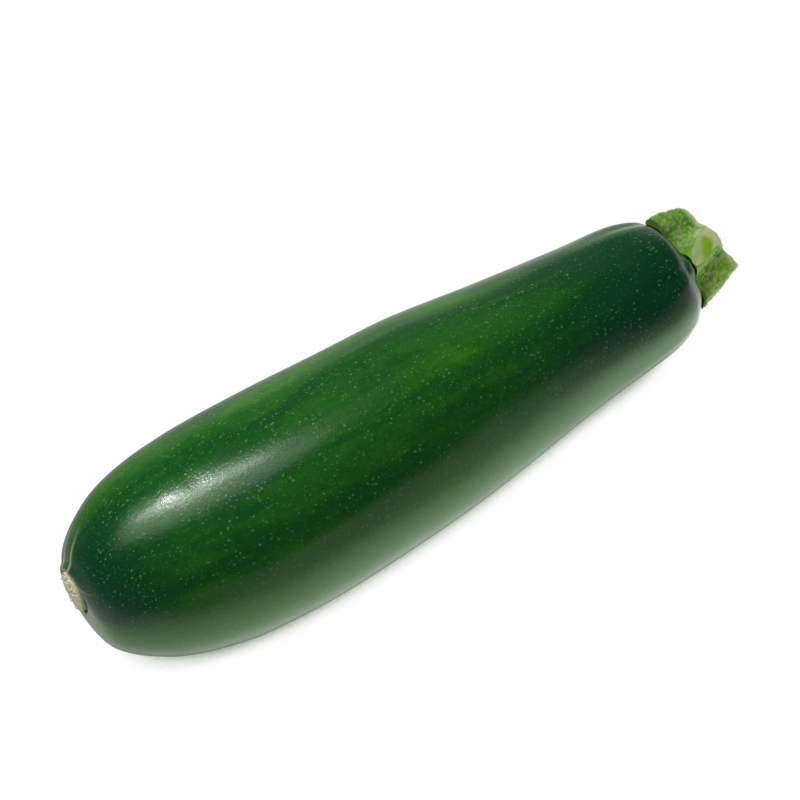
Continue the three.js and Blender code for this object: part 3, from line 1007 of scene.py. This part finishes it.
def make_scar(material):
    """A low domed pad with creases, and a wall down to the floor of the flower hollow."""
    middle = centre_at(FLOWER_HOLLOW_FLOOR, 0.0)
    angle = np.linspace(0, FULL_TURN, SCAR_SEGMENTS, endpoint=False)[None, :]
    off_tip = np.degrees(angle) - SCAR_TIP_ANGLE
    edge = SCAR_RADIUS * (1 + 0.02 * np.sin(3 * angle) + 0.012 * np.sin(7 * angle + 1))
    edge += SCAR_TIP_REACH * np.exp(-((off_tip / 16) ** 2))
    share = np.linspace(0, 1, SCAR_RINGS + 1)[1:, None]
    dimple = SCAR_DIMPLE * np.maximum(1 - share / SCAR_DIMPLE_SHARE, 0)
    x = SCAR_EDGE_X - SCAR_DOME * (1 - share**2) + dimple
    rings = ring_points(x, edge * share, angle, middle)
    creases = SCAR_CREASES * np.abs(np.sin(8 * angle + 2 * np.sin(3 * angle))) * smoothstep(share, 0.2, 0.6)
    rings[..., 0] += creases + SCAR_UNEVENNESS * ripple(rings, 1.1, seed=21) * smoothstep(share, 0.0, 0.3)
    wall = [ring_points(wall_x, edge, angle, middle) for wall_x, _ in SCAR_WALL]
    browned = 1 - np.exp(-((off_tip / 22) ** 2))
    wall_edge = [brown * browned for _, brown in SCAR_WALL]
    cork_edge = np.concatenate([0.3 * smoothstep(share, 0.93, 1.0) + 0 * angle, *wall_edge])
    rings = np.concatenate([rings, *wall])
    front = (SCAR_EDGE_X - SCAR_DOME + SCAR_DIMPLE, *middle)
    pad = skin_over("scar_pad", front, rings, (FLOWER_HOLLOW_FLOOR, *middle), {"cork_edge": cork_edge})
    pad.data.materials.append(material)
    return pad


FLAKE_THICKNESS = 0.12
FLAKE_ROWS = 5
FLAKE_X = 0.3
FLAKE_ROOT = 0.35  # how far inside the pad's edge a flake starts
FLAKE_SPREAD = 0.45
FLAKE_SKEW = 0.06

# Scraps of the withered flower at the scar's edge: angle in degrees, width, length.
FLAKES = [(2, 0.5, 1.3), (255, 3.4, 1.0), (280, 0.8, 1.2), (35, 0.6, 0.6), (120, 0.5, 0.5), (215, 0.6, 0.7)]


def make_flakes(material):
    """Papery scraps of the withered flower, still held at the scar's edge."""
    draw = random.Random(9)
    y, z = centre_at(FLOWER_HOLLOW_FLOOR, 0.0)
    vertices, faces = [], []
    for angle, width, length in FLAKES:
        turn = math.radians(angle)
        outward = Vector((0, math.cos(turn), math.sin(turn)))
        across = Vector((0, -math.sin(turn), math.cos(turn)))
        root = Vector((FLAKE_X, y, z)) + outward * (SCAR_RADIUS - FLAKE_ROOT)
        base = len(vertices)
        for row in range(FLAKE_ROWS):
            share = row / (FLAKE_ROWS - 1)
            curl = Vector((-math.sin(share * 1.5), 0, 0)) * length + outward * (FLAKE_SPREAD * share**2)
            half = width / 2 * (1 - 0.85 * share**1.5)
            for depth in (0, FLAKE_THICKNESS):
                for sideways in (-half, half):
                    skew = draw.uniform(-FLAKE_SKEW, FLAKE_SKEW)
                    vertices.append(root + curl + across * (sideways + skew) + outward * depth)
        for row in range(FLAKE_ROWS - 1):
            a, b = base + 4 * row, base + 4 * (row + 1)
            faces += [(a, b, b + 1, a + 1), (a + 2, a + 3, b + 3, b + 2)]
            faces += [(a, a + 2, b + 2, b), (a + 1, b + 1, b + 3, a + 3)]
        end = base + 4 * (FLAKE_ROWS - 1)
        faces += [(base, base + 1, base + 3, base + 2), (end, end + 2, end + 3, end + 1)]
    mesh = bpy.data.meshes.new("scar_flakes")
    points = place_in_frame(np.array([tuple(v) for v in vertices]))
    mesh.from_pydata(points.tolist(), [], faces)
    mesh.update()
    flakes = link("scar_flakes", mesh)
    flakes.data.materials.append(material)
    return flakes


# ---- camera, floor and light

CAMERA_AZIMUTH = math.radians(-33.6)
CAMERA_ELEVATION = math.radians(60)
CAMERA_DISTANCE = 0.821
CAMERA_TARGET = Vector((0.0015, 0.0095, 0.0204))
CAMERA_LENS = 153.6
FLOOR_SIZE = 6.0
FLOOR_WHITENESS = 0.98
CONTACT_SHADE_REACH = 0.012
CONTACT_SHADE = (0.22, 0.28, 0.18, 1)
CONTACT_SHADE_OPENNESS = (0.35, 0.475)

# The floor's glow in reflections, by place in metres: sideways along the fruit, and forwards across it.
GLOW_NEAR = 0.79
GLOW_FAR = 0.45
GLOW_BEHIND = 0.33
DIM_PATCH_RISE = (0.0, 0.03)
DIM_PATCH_FALL = (0.08, 0.11)
DIM_PATCH_FORWARDS = (-0.1, -0.06)
DIM_PATCH_LESS = 0.3
BRIGHT_AREA_SIDEWAYS = (0.05, 0.11)
BRIGHT_AREA_FORWARDS = (-0.12, -0.05)
BRIGHT_AREA_MORE = 0.5

# Each light's name, direction, distance, width, height and radiance. Together they stand for one softbox.
SOFTBOX_TILT = math.radians(21)
SOFTBOX_TARGET = Vector((0, 0, 0.02))
SOFTBOXES = [
    ("overhead_softbox", (-0.29, 0.37, 0.882), 1.0, 1.66, 0.62, 1.65),
    ("bright_part_of_softbox", (-0.24, 0.453, 0.859), 0.97, 0.91, 0.13, 9.8),
    ("lamp_in_softbox", (-0.225, 0.498, 0.837), 0.95, 0.15, 0.016, 200),
]
ROOM_GLOW = 0.022
PALE_CARD_WAY = (0.7, 0.64, 0.25)
PALE_CARD_EDGE = (0.75, 0.985)  # cosines of the angle from the card's middle
PALE_CARD = 0.12


def make_camera():
    data = bpy.data.cameras.new("camera")
    data.lens = CAMERA_LENS
    camera = bpy.data.objects.new("camera", data)
    bpy.context.scene.collection.objects.link(camera)
    flat = math.cos(CAMERA_ELEVATION)
    x, y = math.sin(CAMERA_AZIMUTH) * flat, -math.cos(CAMERA_AZIMUTH) * flat
    back = Vector((x, y, math.sin(CAMERA_ELEVATION)))
    camera.location = CAMERA_TARGET + back * CAMERA_DISTANCE
    camera.rotation_euler = (-back).to_track_quat("-Z", "Y").to_euler()
    bpy.context.scene.camera = camera


def reflected_glow(tree, open_above):
    """What the skin sees of the floor. It differs in front and behind, and from place to place."""
    place = put(tree, "TexCoord").outputs["Object"]
    sideways, forwards, _ = put(tree, "SeparateXYZ", Vector=place).outputs
    in_front = times(
        tree,
        ramp(tree, forwards, -0.2, -0.05, GLOW_FAR, GLOW_NEAR),
        ramp(tree, sideways, -0.32, 0.0, 0.15, 1.15),
    )
    behind = ramp(tree, sideways, -0.11, -0.01, 0.08, GLOW_BEHIND)
    share_behind = ramp(tree, forwards, -0.04, 0.1)
    in_front = times(tree, in_front, less_by(tree, share_behind))
    glow = plus(tree, in_front, times(tree, behind, share_behind))
    dim = times(
        tree,
        ramp(tree, sideways, *DIM_PATCH_RISE),
        ramp(tree, sideways, *DIM_PATCH_FALL, 1.0, 0.0),
    )
    dim = times(tree, dim, ramp(tree, forwards, *DIM_PATCH_FORWARDS, DIM_PATCH_LESS, 0.0))
    glow = times(tree, glow, less_by(tree, dim))
    bright = ramp(tree, sideways, *BRIGHT_AREA_SIDEWAYS)
    bright = times(tree, bright, ramp(tree, forwards, *BRIGHT_AREA_FORWARDS, 0.0, BRIGHT_AREA_MORE))
    glow = times(tree, glow, plus(tree, 1.0, bright))
    return times(tree, glow, ramp(tree, open_above, 0.42, 0.95, 0.18, 1.0))


def make_floor():
    """A white floor that shines by itself and isn't one evenly lit surface.

    The camera sees an even white, shaded close under the fruit by ambient occlusion, not by a cast shadow.
    Everything else sees another, uneven glow.
    """
    mesh = bpy.data.meshes.new("floor")
    half = FLOOR_SIZE / 2
    corners = [(-half, -half, 0), (half, -half, 0), (half, half, 0), (-half, half, 0)]
    mesh.from_pydata(corners, [], [(0, 1, 2, 3)])
    floor = link("floor", mesh)
    material, tree, shader = new_material("white_table")
    occlusion = put(tree, "AmbientOcclusion", {"samples": 16}, Distance=CONTACT_SHADE_REACH)
    open_above = occlusion.outputs["AO"]
    open_share = ramp(tree, open_above, *CONTACT_SHADE_OPENNESS)
    shade = mix(tree, open_share, CONTACT_SHADE, (1, 1, 1, 1))
    feed(tree, shader, Base_Color=(0.1, 0.1, 0.1, 1), Roughness=0.9, Specular_IOR_Level=0.0)
    feed(tree, shader, Emission_Color=shade, Emission_Strength=FLOOR_WHITENESS)
    reflected = put(tree, "Emission", Color=shade, Strength=reflected_glow(tree, open_above))
    seen = put(tree, "LightPath").outputs["Is Camera Ray"]
    both = put(tree, "MixShader", _0=seen, _1=reflected.outputs[0], _2=shader.outputs[0])
    tree.links.new(both.outputs[0], tree.nodes["Material Output"].inputs["Surface"])
    floor.data.materials.append(material)


def add_softbox(name, towards, distance, width, height, radiance):
    data = bpy.data.lights.new(name, "AREA")
    data.shape = "ELLIPSE"
    data.size, data.size_y = width, height
    data.energy = radiance * math.pi * math.pi / 4 * width * height
    light = bpy.data.objects.new(name, data)
    bpy.context.scene.collection.objects.link(light)
    way = Vector(towards).normalized()
    level_up = way.cross(Vector((1, 0, 0))).normalized()
    level_across = level_up.cross(way)
    cosine, sine = math.cos(SOFTBOX_TILT), math.sin(SOFTBOX_TILT)
    across = level_across * cosine - level_up * sine
    up = level_up * cosine + level_across * sine
    light.matrix_world = Matrix((across, up, way)).transposed().to_4x4()
    light.location = SOFTBOX_TARGET + way * distance


def make_lights():
    """A softbox overhead in a dark room, which is paler low down in front and behind the stem."""
    for softbox in SOFTBOXES:
        add_softbox(*softbox)
    world = bpy.data.worlds.new("studio")
    bpy.context.scene.world = world
    world.use_nodes = True
    tree = world.node_tree
    way = put(tree, "TexCoord").outputs["Generated"]
    sideways, forwards, upwards = put(tree, "SeparateXYZ", Vector=way).outputs
    low = ramp(tree, upwards, 0.12, 0.2, 1.0, 0.0)
    in_front = ramp(tree, forwards, -0.3, 0.3, 0.4, 0.07)
    in_front = times(tree, in_front, ramp(tree, sideways, -0.8, -0.1, 0.15, 1.0))
    card_way = tuple(Vector(PALE_CARD_WAY).normalized())
    towards_card = put(tree, "VectorMath", {"operation": "DOT_PRODUCT"}, _0=way, _1=card_way)
    card = ramp(tree, towards_card.outputs["Value"], *PALE_CARD_EDGE, 0.0, PALE_CARD)
    glow = plus(tree, times(tree, low, in_front), card)
    glow = plus(tree, glow, ROOM_GLOW)
    background = tree.nodes["Background"]
    tree.links.new(glow, background.inputs["Strength"])
    background.inputs["Color"].default_value = (1, 1, 1, 1)


# ---- putting it together

make_camera()
make_floor()
make_lights()
bpy.context.scene.view_settings.view_transform = "Standard"

skin = make_skin()
stem, root_points, roots = make_stem()
bristles = make_bristles(root_points, roots)
cork = cork_material()
scar = make_scar(cork)
flakes = make_flakes(cork)

for piece, slot in ((skin, "skin"), (stem, "stem"), (bristles, "stem"), (scar, "scar"), (flakes, "scar")):
    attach(piece, "root")
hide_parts("fruit")
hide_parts("stem")
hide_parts("blossom_scar")
